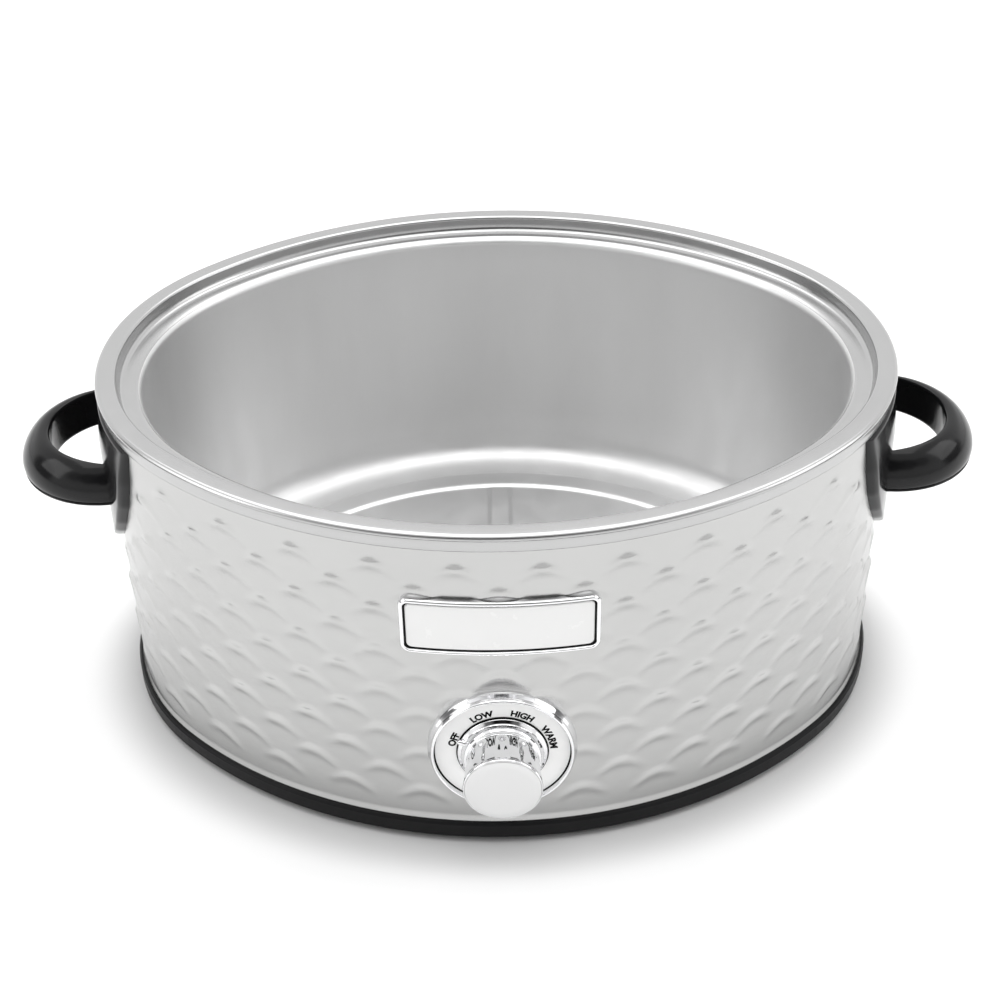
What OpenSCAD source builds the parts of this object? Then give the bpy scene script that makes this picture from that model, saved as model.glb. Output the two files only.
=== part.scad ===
/* [Body] */
// Half length of the oval rim, over the rolled edge
rim_a = 176; // [150:1:200]
// Distance from the middle to the centre of each end arc; the rest of the end is its radius
arc_x = 61.181; // [50:0.001:75]
// Height of the rolled rim above the underside of the base tray
rim_h = 160; // [140:1:180]
// How far the shell stands back from the rolled edge
shell_in = 2.2; // [1.8:0.1:3]
// Sheet thickness of the outer shell and the liner
sheet_t = 1; // [0.8:0.1:1.2]
// Height of the rubber feet
foot_h = 3; // [2:0.5:6]
// Shift of the oval's middle, so the origin is the middle of the whole footprint
body_y = 6.4; // [0:0.1:12]

/* [Heating well] */
// Height of the well's floor
well_z = 25; // [20:1:35]
// Setback of the well's inner wall from the rolled edge
well_in = 19.5; // [18:0.5:24]
// Radius between the well's wall and its floor
well_r = 14; // [8:1:18]

/* [Base tray] */
// Height of the tray's lip
lip_h = 8; // [6:0.5:12]
// Thickness of the tray's floor
tray_t = 2.5; // [2:0.5:4]
// Distance between the feet along X
foot_dx = 220; // [160:2:240]
// Distance between the feet along Y
foot_dy = 132; // [100:2:150]

/* [Handles] */
// Height of the grips' middle
grip_z = 115.75; // [100:0.25:120]
// Height of each grip's band
grip_h = 18.5; // [14:0.5:20]
// Radius of a grip's outer edge
grip_r = 40; // [39:0.5:44]
// Radius of the finger gap
gap_r = 31; // [26:0.5:31.5]
// Thickness of the back plates in front of the shell
pad_t = 4; // [3:0.5:8]

/* [Name plate] */
// Width of the plate's frame
plate_w = 80; // [60:1:100]
// Height of the plate's frame
plate_h = 27; // [20:1:36]
// Height of the plate's middle
plate_z = 115; // [105:1:125]

/* [Control] */
// Height of the knob's axis
dial_z = 50; // [45:1:56]
// Radius of the dial's bezel
bezel_r = 29.9; // [27:0.1:34]
// Radius of the knob
knob_r = 16.3; // [16:0.1:17]
// Radius of the knob's base flange
skirt_r = 18.6; // [18.2:0.1:19]
// How far the knob's face stands out from the rim's front
knob_out = 22.5; // [18:0.5:26]
// Radius of the switch shaft
shaft_r = 3; // [2.5:0.1:3.5]
// Turn of the knob from rest, clockwise from the front
knob_turn = 0; // [0:45:135]

/* [Hidden] */
$fn = 128;

end_r = rim_a - arc_x;                 // radius of the end arcs
side_r = end_r + sqrt(2) * arc_x;      // radius of the side arcs, tangent at 45 degrees
rim_b = side_r - arc_x;                // half width of the rim
// centre x, centre y, radius, start angle, sweep of the oval's four arcs
ARCS = [[arc_x, 0, end_r, -45, 90], [0, -arc_x, side_r, 45, 90],
        [-arc_x, 0, end_r, 135, 90], [0, arc_x, side_r, 225, 90]];
front_y = -(rim_b - shell_in);         // shell's outer surface at the front
back_y = rim_b - shell_in;             // and at the back
face_y = -(rim_b + knob_out);          // knob's face
shell_top = rim_h - 3;
floor_z = well_z - sheet_t;            // underside of the well's floor

// everything is drawn about the oval's own middle, then placed
module place() { translate([0, body_y, foot_h]) children(); }
// one arc of the oval, swept with a profile of [offset, height]
module arc_sweep(s, pts) {
  translate([s[0], s[1], 0]) rotate_extrude(angle = s[4], start = s[3])
    polygon([for (p = pts) [s[2] + p[0], p[1]]]);
}
module oval_sweep(pts) { for (s = ARCS) arc_sweep(s, pts); }
module oval_solid(d, z1, z2) {
  for (s = ARCS) translate([s[0], s[1], 0])
    rotate_extrude(angle = s[4], start = s[3]) translate([0, z1]) square([s[2] + d, z2 - z1]);
}
function bend(cx, cz, r, a0, a1, n) =
  [for (i = [0 : n]) let (a = a0 + (a1 - a0) * i / n) [cx + r * cos(a), cz + r * sin(a)]];
// cylinder along Y from y1 to y2
module rod_y(x, z, r, y1, y2, f = 128) {
  translate([x, y2, z]) rotate([90, 0, 0]) cylinder(r = r, h = y2 - y1, $fn = f);
}
// cylinder along X from x1 to x2
module rod_x(y, z, r, x1, x2) {
  translate([x1, y, z]) rotate([0, 90, 0]) cylinder(r = r, h = x2 - x1, $fn = 64);
}
// solid of revolution about the knob's axis, profile of [radius, y]
module turn_y(pts) {
  translate([0, 0, dial_z]) rotate([-90, 0, 0]) rotate_extrude() polygon(pts);
}
// rounded rectangle lying in XZ, extruded along Y between y1 and y2
module pane(w, h, r, z, y1, y2) {
  translate([0, y2, z]) rotate([90, 0, 0]) linear_extrude(y2 - y1) {
    square([w - 2 * r, h], center = true);
    square([w, h - 2 * r], center = true);
    for (sx = [-1, 1], sz = [-1, 1]) translate([sx * (w / 2 - r), sz * (h / 2 - r)]) circle(r, $fn = 48);
  }
}

// ---- wires: a tube of n sides swept along a smooth curve through the points
function cr(a, b, c, d, t) = 0.5 * ((2 * b) + (c - a) * t + (2 * a - 5 * b + 4 * c - d) * t * t + (3 * b - a - 3 * c + d) * t * t * t);
function smooth(p, k) = let (n = len(p)) concat(
  [for (i = [0 : n - 2], j = [0 : k - 1]) cr(p[max(i - 1, 0)], p[i], p[i + 1], p[min(i + 2, n - 1)], j / k)], [p[n - 1]]);
function unit(v) = v / norm(v);
function carry(t, i = 0, u = undef, out = []) = i == len(t) ? out :
  let (w = i == 0 ? unit(cross(t[0], abs(t[0][2]) < 0.9 ? [0, 0, 1] : [1, 0, 0])) : unit(u - (u * t[i]) * t[i]))
  carry(t, i + 1, w, concat(out, [w]));
module tube(p, r, n = 8) {
  m = len(p);
  t = [for (i = [0 : m - 1]) unit(p[min(i + 1, m - 1)] - p[max(i - 1, 0)])];
  u = carry(t);
  pts = [for (i = [0 : m - 1], j = [0 : n - 1]) let (a = 360 * j / n)
    p[i] + r * (cos(a) * u[i] + sin(a) * cross(t[i], u[i]))];
  faces = concat(
    [[for (j = [0 : n - 1]) j]],
    [[for (j = [n - 1 : -1 : 0]) (m - 1) * n + j]],
    [for (i = [0 : m - 2], j = [0 : n - 1]) let (k = (j + 1) % n)
      [i * n + j, (i + 1) * n + j, (i + 1) * n + k, i * n + k]]);
  polyhedron(pts, faces);
}

// ---- shell, liner and tray
HANDLE_Y = 35;                          // the handle screws, from the middle
screw_z = grip_z - 1.25;                // and their height
module outer_shell() {
  color("gainsboro") place() difference() {
    oval_sweep([[-shell_in - sheet_t, 3.7], [-shell_in, 3.7], [-shell_in, shell_top], [-shell_in - sheet_t, shell_top]]);
    rod_y(0, dial_z, 5.2, front_y - 5, front_y + 10);
    for (sx = [-1, 1]) rod_y(sx * 28, plate_z, 1.8, front_y - 5, front_y + 12);
    rod_y(0, 24, 6.2, back_y - 10, back_y + 5);
    for (sx = [-1, 1], sy = [-1, 1]) rod_x(sy * HANDLE_Y, screw_z, 2.3, sx > 0 ? 150 : -190, sx > 0 ? 190 : -150);
  }
}
rib_w = 10;
module liner() {
  w = well_in;
  color("silver") place() {
    oval_sweep(concat(
      [[-1, rim_h - 7.9], [-1, rim_h - 2.8], [-0.4, rim_h - 2.4]],
      bend(-2.2, rim_h - 2.2, 2.2, 10, 90, 4),
      bend(-7.7, rim_h - 1.5, 1.5, 90, 180, 3),
      [[-10.2, rim_h - 6.4], [-11.5, rim_h - 7.1]],
      bend(4 - w, rim_h - 11.1, 4, 90, 180, 4),
      bend(-w - well_r, well_z + well_r, well_r, 0, -90, 6),
      [[-w - well_r - 6, well_z], [-w - well_r - 6, floor_z]],
      bend(-w - well_r, well_z + well_r, well_r + sheet_t, -90, 0, 6),
      bend(4 - w, rim_h - 11.1, 4 - sheet_t, 180, 90, 3),
      [[-11.8, rim_h - 8.1], [-9.5, rim_h - 7.2], [-8.4, rim_h - 2], [-7.4, rim_h - 1],
       [-2.6, rim_h - 1], [-2, rim_h - 1.8], [-2, rim_h - 7.9]]));
    oval_solid(-w - well_r - 5, floor_z, well_z);
    // raised band round the floor, and the rib across it
    oval_sweep([[-41, well_z - 0.3], [-39.5, well_z + 1.2], [-51.5, well_z + 1.2], [-53, well_z - 0.3]]);
    intersection() {
      oval_solid(-52, well_z - 0.3, well_z + 1.2);
      translate([-rib_w / 2, -200, well_z - 0.3]) cube([rib_w, 400, 1.5]);
    }
  }
}
module foot_spots() {
  for (sx = [-1, 1], sy = [-1, 1]) translate([sx * foot_dx / 2, sy * foot_dy / 2, 0]) children();
}
module base_tray() {
  color([0.06, 0.06, 0.06]) place() difference() {
    union() {
      oval_sweep([[-6, 0], [-0.4, 0], [0.4, 0.8], [0.4, lip_h - 1], [-0.4, lip_h], [-1.9, lip_h],
                  [-1.9, 3.6], [-6, 3.6]]);
      oval_solid(-5, 0, tray_t);
      for (sx = [-1, 1]) translate([sx * 26, 92, 1]) cylinder(r = 3.5, h = 5, $fn = 48);
    }
    foot_spots() translate([0, 0, -1]) cylinder(r = 3.1, h = 10, $fn = 64);
    translate([0, 0, -1]) cylinder(r = 2.7, h = 10, $fn = 64);
    for (i = [-3 : 3], sx = [-1, 1]) translate([sx * 62 + i * 9 - 1.5, -24, -1]) cube([3, 48, 10]);
    for (sx = [-1, 1]) translate([sx * 26, 92, -1]) cylinder(r = 1.6, h = 12, $fn = 48);
  }
}
module rubber_feet() {
  color([0.1, 0.1, 0.1]) place() foot_spots() rotate_extrude($fn = 64)
    polygon([[0, -foot_h], [8, -foot_h], [9, -foot_h + 0.8], [9.5, 0], [3, 0], [3, tray_t + 0.1],
             [5, tray_t + 0.1], [3.2, tray_t + 2.6], [0, tray_t + 2.6]]);
}

// ---- handles
module grip(sx) {
  h1 = grip_z - grip_h / 2; h2 = grip_z + grip_h / 2; r = grip_r;
  cx = 216.5 - grip_r;
  color([0.03, 0.03, 0.03]) place() mirror([sx < 0 ? 1 : 0, 0, 0]) difference() {
    translate([cx, 0, 0]) rotate_extrude()
      polygon([[0, h1], [r - 3.2, h1], [r - 1.2, h1 + 0.8], [r - 0.3, h1 + 2.4], [r, h1 + 5], [r - 1.5, h1 + 9], [r - 5, h2 - 4], [r - 8.5, h2 - 1], [r - 10.5, h2], [0, h2]]);
    translate([cx - 4.7, 0, h1 - 5]) cylinder(r = gap_r, h = grip_h + 10);
    arc_cut(pad_t - shell_in + 0.05);
    for (sy = [-1, 1]) rod_x(sy * HANDLE_Y, screw_z, 2.05, 160, 185);
  }
}
// everything inside the right end arc's offset surface
module arc_cut(d) { translate([arc_x, 0, 60]) cylinder(r = end_r + d, h = 100); }
module handle_plate(sx) {
  color([0.03, 0.03, 0.03]) place() mirror([sx < 0 ? 1 : 0, 0, 0]) difference() {
    intersection() {
      arc_sweep([arc_x, 0, end_r, -40, 80], [[-shell_in + 0.1, 70], [pad_t - shell_in, 70], [pad_t - shell_in, rim_h - 26], [0, rim_h - 8.3], [-shell_in + 0.1, rim_h - 8.3]]);
      translate([140, 0, 0]) rotate([90, 0, 90]) linear_extrude(60)
        polygon(let (s = [[12, 76], [22, 79], [31, 85], [41, 94], [49, 104], [57, 118], [62, 133], [67, 160]])
          concat(s, [for (i = [len(s) - 1 : -1 : 0]) [-s[i][0], s[i][1]]]));
    }
    for (sy = [-1, 1]) rod_x(sy * HANDLE_Y, screw_z, 2.3, 150, 190);
  }
}
module handle_left() { grip(-1); }
module handle_right() { grip(1); }
module handle_plate_left() { handle_plate(-1); }
module handle_plate_right() { handle_plate(1); }
hs_x = 165.4;
module handle_screws() {
  color("silver") place() for (sx = [-1, 1], sy = [-1, 1]) mirror([sx < 0 ? 1 : 0, 0, 0]) {
    rod_x(sy * HANDLE_Y, screw_z, 2, hs_x - 2, 184);
    difference() {
      rod_x(sy * HANDLE_Y, screw_z, 3.8, hs_x - 4.2, hs_x - 1);
      translate([hs_x - 5, sy * HANDLE_Y - 0.5, screw_z - 3]) cube([2, 1, 6]);
    }
  }
}
module handle_washers() {
  color("silver") place() for (sx = [-1, 1], sy = [-1, 1]) mirror([sx < 0 ? 1 : 0, 0, 0]) difference() {
    rod_x(sy * HANDLE_Y, screw_z, 4.8, hs_x - 0.95, hs_x - 0.1);
    rod_x(sy * HANDLE_Y, screw_z, 2.15, hs_x - 3, hs_x + 3);
  }
}

// ---- name plate, curved with the front of the shell
module front_band(d1, d2) {
  arc_sweep([0, arc_x, side_r, 250, 40], [[d1, plate_z - 30], [d2, plate_z - 30], [d2, plate_z + 30], [d1, plate_z + 30]]);
}
module nameplate_frame() {
  color("whitesmoke") place() difference() {
    intersection() {
      front_band(-shell_in + 0.1, 0.6);
      pane(plate_w, plate_h, 4, plate_z, -160, -110);
    }
    pane(plate_w - 8, plate_h - 8, 2, plate_z, -160, -110);
    intersection() {
      front_band(-shell_in + 0.8, 5);
      pane(plate_w - 4, plate_h - 4, 2.5, plate_z, -160, -110);
    }
  }
}
module nameplate_plate() {
  color("white") place() {
    intersection() {
      front_band(-shell_in + 0.85, -0.5);
      pane(plate_w - 4.2, plate_h - 4.2, 2.4, plate_z, -160, -110);
    }
    for (sx = [-1, 1]) rod_y(sx * 28, plate_z, 1.5, front_y + 0.4, front_y + 7, 48);
  }
}
module nameplate_nuts() {
  color("silver") place() for (sx = [-1, 1]) difference() {
    rod_y(sx * 28, plate_z, 4, front_y + 3.8, front_y + 5.2, 48);
    rod_y(sx * 28, plate_z, 1.55, front_y, front_y + 8, 48);
  }
}

// ---- dial and switch
dp = front_y - 1.9;                    // front of the dial plate
module dial_bezel() {
  color("whitesmoke") place() difference() {
    turn_y([[28.4, dp - 2.6], [29, dp - 2.6], [bezel_r, dp - 1.6], [bezel_r, front_y + 5], [26.5, front_y + 5], [26.5, dp + 1.35], [28.4, dp + 1.35]]);
    translate([0, arc_x, 0]) cylinder(r = side_r - shell_in + 0.08, h = 100, $fn = 360);
  }
}
module dial_plate() {
  color("white") place() difference() {
    rod_y(0, dial_z, 28.2, dp, dp + 1.3);
    rod_y(0, dial_z, 5.2, dp - 5, dp + 5);
  }
}
sw_y = front_y + 1.7;                  // front of the switch's metal plate
module switch_bush() {
  color("silver") place() difference() {
    union() {
      translate([-15, sw_y, dial_z - 13]) cube([30, 1, 26]);
      rod_y(0, dial_z, 4.95, dp - 2.5, sw_y + 0.5);
    }
    rod_y(0, dial_z, shaft_r + 0.06, dp - 10, sw_y + 10);
  }
}
module switch_nut() {
  color("silver") place() difference() {
    translate([0, dp - 0.05, dial_z]) rotate([90, 0, 0]) cylinder(r = 7.5, h = 1.9, $fn = 6);
    rod_y(0, dial_z, 5.05, dp - 5, dp + 5);
  }
}
module switch_housing() {
  color([0.35, 0.2, 0.1]) place() difference() {
    translate([-15, sw_y + 1.05, dial_z - 13]) cube([30, 8.4, 26]);
    rod_y(0, dial_z, 9.2, sw_y, sw_y + 7.4);
    for (x = [-9, 0, 9]) translate([x - 2.6, sw_y + 3.9, dial_z - 14]) cube([5.2, 1, 10]);
    for (sx = [-1, 1], sz = [-1, 1]) rod_y(sx * 12, dial_z + sz * 10, 1.3, sw_y + 4, sw_y + 12, 48);
  }
}
module switch_cover() {
  color([0.75, 0.65, 0.45]) place() difference() {
    translate([-15, sw_y + 9.5, dial_z - 13]) cube([30, 1, 26]);
    for (sx = [-1, 1], sz = [-1, 1]) rod_y(sx * 12, dial_z + sz * 10, 1.3, sw_y + 4, sw_y + 12, 48);
  }
}
module switch_contacts() {
  color("goldenrod") place() for (x = [-9, 0, 9])
    translate([x - 2.5, sw_y + 4, dial_z - 23]) cube([5, 0.8, x == 0 ? 13.3 : 15]);
}
module switch_rivets() {
  color("silver") place() for (sx = [-1, 1], sz = [-1, 1]) {
    rod_y(sx * 12, dial_z + sz * 10, 1.2, sw_y + 5, sw_y + 11, 48);
    rod_y(sx * 12, dial_z + sz * 10, 2.2, sw_y + 10.55, sw_y + 11.4, 48);
  }
}

// ---- knob, shaft and cam: they turn together about the dial's axis
module turned() {
  translate([0, 0, dial_z]) rotate([0, knob_turn, 0]) translate([0, 0, -dial_z]) children();
}
kb = dp - 0.5;                         // back of the knob
module knob_body() {
  color("whitesmoke") place() turned() difference() {
    union() {
      turn_y([[9, kb], [skirt_r - 0.6, kb], [skirt_r, kb - 0.6], [skirt_r, kb - 1.5], [skirt_r - 0.5, kb - 2], [skirt_r - 0.5, kb - 4.1], [skirt_r - 1.1, kb - 4.7],
              [knob_r - 1.2, kb - 4.9], [knob_r - 1.4, kb - 5.7], [knob_r, face_y + 1.6], [knob_r, face_y + 1], [knob_r - 0.6, face_y + 0.2],
              [14.9, face_y + 0.2], [14.9, face_y + 1.7], [0, face_y + 1.7], [0, face_y + 4.5], [7, face_y + 4.5], [7, kb - 3.2], [9, kb - 3.2]]);
      translate([0, 0, dial_z]) rotate([0, -157.5, 0]) translate([skirt_r - 1, kb - 2.4, -0.8]) cube([2.4, 2.2, 1.6]);
    }
    for (a = [0 : 36 : 324]) translate([0, 0, dial_z]) rotate([0, a - 90, 0])
      translate([knob_r + 1.95, kb - 6.6, 0]) rotate([90, 0, 0]) cylinder(r = 3.6, h = 13, $fn = 64);
  }
}
module knob_cap() {
  color("silver") place() turned()
    turn_y([[0, face_y + 1.65], [14.8, face_y + 1.65], [14.8, face_y + 0.5], [14.3, face_y], [0, face_y]]);
}
module d_bar(r, f, y1, y2) {
  difference() {
    rod_y(0, dial_z, r, y1, y2);
    translate([-10, y1 - 1, dial_z + f]) cube([20, y2 - y1 + 2, 10]);
  }
}
module knob_insert() {
  color("tan") place() turned() difference() {
    rod_y(0, dial_z, 6.95, face_y + 4.55, kb - 3.3);
    d_bar(shaft_r + 0.04, 2.24, face_y + 6, kb + 1);
  }
}
module switch_shaft() {
  color("silver") place() turned() {
    rod_y(0, dial_z, shaft_r, kb - 3.25, sw_y + 6.2);
    d_bar(shaft_r, 2.2, face_y + 6.5, kb - 3.2);
  }
}
module switch_cam() {
  color("ivory") place() turned() difference() {
    rod_y(0, dial_z, 8.6, sw_y + 1.6, sw_y + 3.4);
    rod_y(0, dial_z, shaft_r + 0.02, sw_y, sw_y + 8);
    for (a = [0 : 45 : 135]) translate([0, 0, dial_z]) rotate([0, a, 0]) translate([-9.2, sw_y + 5, 0])
      rotate([90, 0, 0]) cylinder(r = 1.6, h = 5, $fn = 32);
  }
}

// ---- heating parts
hb1 = 70; hb2 = 105;
hb_in = -well_in + sheet_t + 0.1;
hb_out = hb_in + 1.5;
module heater_band() {
  color("burlywood") place() difference() {
    oval_sweep([[hb_in, hb1], [hb_out, hb1], [hb_out, hb2], [hb_in, hb2]]);
    translate([-7, 100, hb1 - 5]) cube([14, 40, 50]);
  }
}
lug_y = rim_b + hb_out;
module band_lugs() {
  color("silver") place() for (sx = [-1, 1]) difference() {
    union() {
      translate([sx * 9.6 - 0.6, lug_y - 0.15, hb1 + 2]) cube([1.2, 6.2, hb2 - hb1 - 4]);
      translate([sx * 12.5 - 3.5, lug_y - 0.15, hb1 + 2]) cube([7, 1, hb2 - hb1 - 4]);
    }
    for (z = [hb1 + 9, hb2 - 9]) rod_x(lug_y + 3.5, z, 0.9, -20, 20);
  }
}
module band_springs() {
  color("gray") place() for (z = [hb1 + 9, hb2 - 9]) {
    tube([for (i = [0 : 60]) let (a = i * 36) [-6.6 + 13.2 * i / 60, lug_y + 3.5 + 1.8 * sin(a), z + 1.8 * cos(a)]], 0.45, 6);
    for (sx = [-1, 1]) {
      rod_x(lug_y + 3.5, z, 0.45, sx > 0 ? 6.2 : -11.2, sx > 0 ? 11.2 : -6.2);
      translate([sx * 6.6, lug_y + 3.5, z]) cylinder(r = 0.45, h = 1.8, $fn = 24);
    }
  }
}
module heat_shield() {
  color("lightgray") place() difference() {
    oval_sweep([[-10, tray_t + 0.1], [-9.5, tray_t + 0.1], [-9.5, 110], [-10, 110]]);
    for (sy = [-1, 1]) translate([-200, sy > 0 ? 12 : -212, 0]) cube([400, 200, 67]);
  }
}
module thermal_fuse() {
  color("lightgray") place() translate([-60, 40, floor_z - 2.15]) rotate([0, 90, 0]) {
    cylinder(r = 2, h = 11, center = true, $fn = 48);
    cylinder(r = 0.5, h = 26, center = true, $fn = 24);
  }
}
module fuse_clip() {
  color("silver") place() translate([-57, 40, floor_z]) rotate([90, 0, -90]) linear_extrude(6)
    polygon([[-9, -0.1], [-9, -0.7], [-3, -0.7], [-2.8, -4.9], [2.8, -4.9], [3, -0.7], [9, -0.7], [9, -0.1],
             [2.45, -0.1], [2.2, -4.3], [-2.2, -4.3], [-2.45, -0.1]]);
}

// ---- bracket under the well and the bolt that holds the tray
module clamp_bracket() {
  color("silver") place() difference() {
    translate([0, 10, floor_z]) rotate([90, 0, 0]) linear_extrude(20)
      polygon([[-45, -1.6], [-31.5, -1.6], [-30.5, -9], [30.5, -9], [31.5, -1.6], [45, -1.6], [45, -0.1],
               [30.2, -0.1], [29.2, -7.5], [-29.2, -7.5], [-30.2, -0.1], [-45, -0.1]]);
    translate([0, 0, 5]) cylinder(r = 2.7, h = 30, $fn = 64);
  }
}
module centre_spacer() {
  color("silver") place() difference() {
    translate([0, 0, tray_t + 0.05]) cylinder(r = 5, h = floor_z - 9.1 - tray_t, $fn = 64);
    cylinder(r = 2.7, h = 30, $fn = 64);
  }
}
module centre_bolt() {
  color("silver") place() difference() {
    union() {
      translate([0, 0, -1.2]) cylinder(r = 2.45, h = floor_z - 0.6, $fn = 64);
      translate([0, 0, -2.6]) cylinder(r = 4.5, h = 1.7, $fn = 64);
    }
    translate([-3.2, -0.5, -3]) cube([6.4, 1, 1.1]);
    translate([-0.5, -3.2, -3]) cube([1, 6.4, 1.1]);
  }
}
module centre_washer() {
  color("silver") place() difference() {
    translate([0, 0, -0.85]) cylinder(r = 7.5, h = 0.8, $fn = 64);
    translate([0, 0, -5]) cylinder(r = 2.6, h = 10, $fn = 64);
  }
}
module centre_nut() {
  color("silver") place() difference() {
    translate([0, 0, floor_z - 7.4]) cylinder(r = 4.6, h = 4, $fn = 6);
    cylinder(r = 2.5, h = 40, $fn = 64);
  }
}

// ---- terminals, wires and the cord's gland
module terminal_block() {
  color("ivory") place() difference() {
    translate([-32, 84, 6.05]) cube([64, 16, 12]);
    for (x = [-14, 0, 14]) {
      rod_y(x, 12, 2.2, 80, 104, 48);
      translate([x, 92, 12]) cylinder(r = 2.1, h = 10, $fn = 48);
    }
    for (sx = [-1, 1]) translate([sx * 26, 92, 5]) { cylinder(r = 1.8, h = 20, $fn = 48); translate([0, 0, 8]) cylinder(r = 3.4, h = 20, $fn = 48); }
  }
}
module terminal_screws() {
  color("silver") place() {
    for (x = [-14, 0, 14]) difference() {
      translate([x, 92, 13.6]) cylinder(r = 2, h = 4, $fn = 48);
      translate([x - 3, 91.6, 16.9]) cube([6, 0.8, 2]);
    }
    for (sx = [-1, 1]) translate([sx * 26, 92, 0]) { translate([0, 0, 3]) cylinder(r = 1.5, h = 11, $fn = 48); translate([0, 0, 13.05]) cylinder(r = 3, h = 2, $fn = 48); }
  }
}
module earth_stud() {
  color("silver") place() {
    translate([40, 60, floor_z - 9]) cylinder(r = 2, h = 8.5, $fn = 48);
    translate([40, 60, floor_z - 1]) cylinder(r = 4, h = 0.9, $fn = 48);
  }
}
module earth_nut() {
  color("silver") place() difference() {
    translate([40, 60, floor_z - 6.5]) cylinder(r = 4, h = 3, $fn = 6);
    translate([40, 60, 5]) cylinder(r = 2.05, h = 30, $fn = 48);
  }
}
module wire_live() {
  color("saddlebrown") place() tube(smooth([[-14, 83.5, 12], [-18, 74, 10.5], [-46, 52, 8], [-78, 10, 7],
    [-80, -34, 7], [-62, -80, 8], [-30, -112, 13], [-11, -128, 20], [-9, -131.2, 25.4]], 3), 1.3);
}
module wire_neutral() {
  color("royalblue") place() tube(smooth([[0, 100.5, 12], [4, 109, 13], [16, 120, 20], [24, 125, 36], [25, 125, 54], [20, 124.4, 68.4]], 3), 1.3);
}
module wire_heater() {
  color("gray") place() tube(smooth([[9, -131.2, 25.4], [12, -131, 20], [24, -128, 19], [33, -124.6, 34], [34, -122.5, 52], [34, -121.6, 68.6]], 3), 1.3);
}
module wire_earth() {
  color("green") place() tube(smooth([[14, 83.5, 12], [16, 76, 11.5], [26, 67, 11.5], [34, 62, 12.6], [40, 60, 13.4]], 3), 1.2);
}
module cord_gland() {
  color([0.05, 0.05, 0.05]) place() translate([0, 0, 24]) rotate([-90, 0, 0]) rotate_extrude()
    polygon([[3.6, 129.6], [6, 129.6], [6, back_y + 0.2], [9, back_y + 0.2], [9, back_y + 1.6], [8.4, back_y + 2.4],
             [6.6, back_y + 2.4], [5.8, back_y + 12], [3.6, back_y + 12]]);
}
module gland_nut() {
  color([0.1, 0.1, 0.1]) place() difference() {
    translate([0, 136.2, 24]) rotate([90, 0, 0]) cylinder(r = 9.6, h = 4.2, $fn = 6);
    rod_y(0, 24, 6.08, 120, 145);
  }
}

outer_shell();
liner();
base_tray();
rubber_feet();
handle_left();
handle_right();
handle_plate_left();
handle_plate_right();
handle_screws();
handle_washers();
nameplate_frame();
nameplate_plate();
nameplate_nuts();
dial_bezel();
dial_plate();
switch_bush();
switch_nut();
switch_housing();
switch_cover();
switch_contacts();
switch_rivets();
heater_band();
band_lugs();
band_springs();
heat_shield();
thermal_fuse();
fuse_clip();
clamp_bracket();
centre_spacer();
centre_bolt();
centre_washer();
centre_nut();
terminal_block();
terminal_screws();
earth_stud();
earth_nut();
wire_live();
wire_neutral();
wire_heater();
wire_earth();
cord_gland();
gland_nut();
knob_body();
knob_cap();
knob_insert();
switch_shaft();
switch_cam();
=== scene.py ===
import math

import bpy
import numpy as np
from mathutils import Matrix, Vector

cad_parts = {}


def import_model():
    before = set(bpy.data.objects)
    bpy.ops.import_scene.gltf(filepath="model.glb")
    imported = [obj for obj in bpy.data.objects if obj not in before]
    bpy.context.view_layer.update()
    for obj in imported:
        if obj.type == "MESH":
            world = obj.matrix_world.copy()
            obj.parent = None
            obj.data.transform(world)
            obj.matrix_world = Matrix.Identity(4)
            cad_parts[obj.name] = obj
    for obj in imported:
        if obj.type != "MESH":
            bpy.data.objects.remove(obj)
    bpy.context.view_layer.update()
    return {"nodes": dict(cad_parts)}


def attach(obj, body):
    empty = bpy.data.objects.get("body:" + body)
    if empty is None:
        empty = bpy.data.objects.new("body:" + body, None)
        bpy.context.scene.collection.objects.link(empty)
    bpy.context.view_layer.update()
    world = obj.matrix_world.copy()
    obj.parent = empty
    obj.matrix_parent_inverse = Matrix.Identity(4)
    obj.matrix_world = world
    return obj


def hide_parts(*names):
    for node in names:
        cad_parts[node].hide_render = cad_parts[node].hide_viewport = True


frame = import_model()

# Every dimension below is in millimetres in the part's local frame: z from the tray's bottom edge, y from the oval's centre.
OFFSET = np.array([0.0, 6.4, 3.0])
ARC_X, END_R, SIDE_R = 61.181, 114.819, 201.342


# ------------------------------------------------------------------ helpers
def obj_from(name, verts, faces, body, mats, nodes=(), sharp=40, face_mats=None, local=True):
    co = np.asarray(verts, float)
    if local:
        co = (co + OFFSET) * 0.001
    me = bpy.data.meshes.new(name)
    me.from_pydata(co.tolist(), [], [tuple(int(i) for i in f) for f in faces])
    if face_mats is not None:
        me.polygons.foreach_set("material_index", np.asarray(face_mats, np.int32))
    me.validate(clean_customdata=False)
    for m in mats if isinstance(mats, (list, tuple)) else [mats]:
        me.materials.append(m)
    me.polygons.foreach_set("use_smooth", np.ones(len(me.polygons), bool))
    if sharp is not None:
        me.set_sharp_from_angle(angle=math.radians(sharp))
    me.update()
    ob = bpy.data.objects.new(name, me)
    bpy.context.scene.collection.objects.link(ob)
    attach(ob, body)
    if nodes:
        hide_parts(*nodes)
    return ob


def grid(n, m, wrap_n=False, wrap_m=False, off=0, flip=False):
    i, j = np.meshgrid(np.arange(n if wrap_n else n - 1), np.arange(m if wrap_m else m - 1), indexing="ij")
    i, j = i.ravel(), j.ravel()
    i2, j2 = (i + 1) % n, (j + 1) % m
    f = np.stack([i * m + j, i2 * m + j, i2 * m + j2, i * m + j2], 1) + off
    return f[:, ::-1] if flip else f


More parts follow.
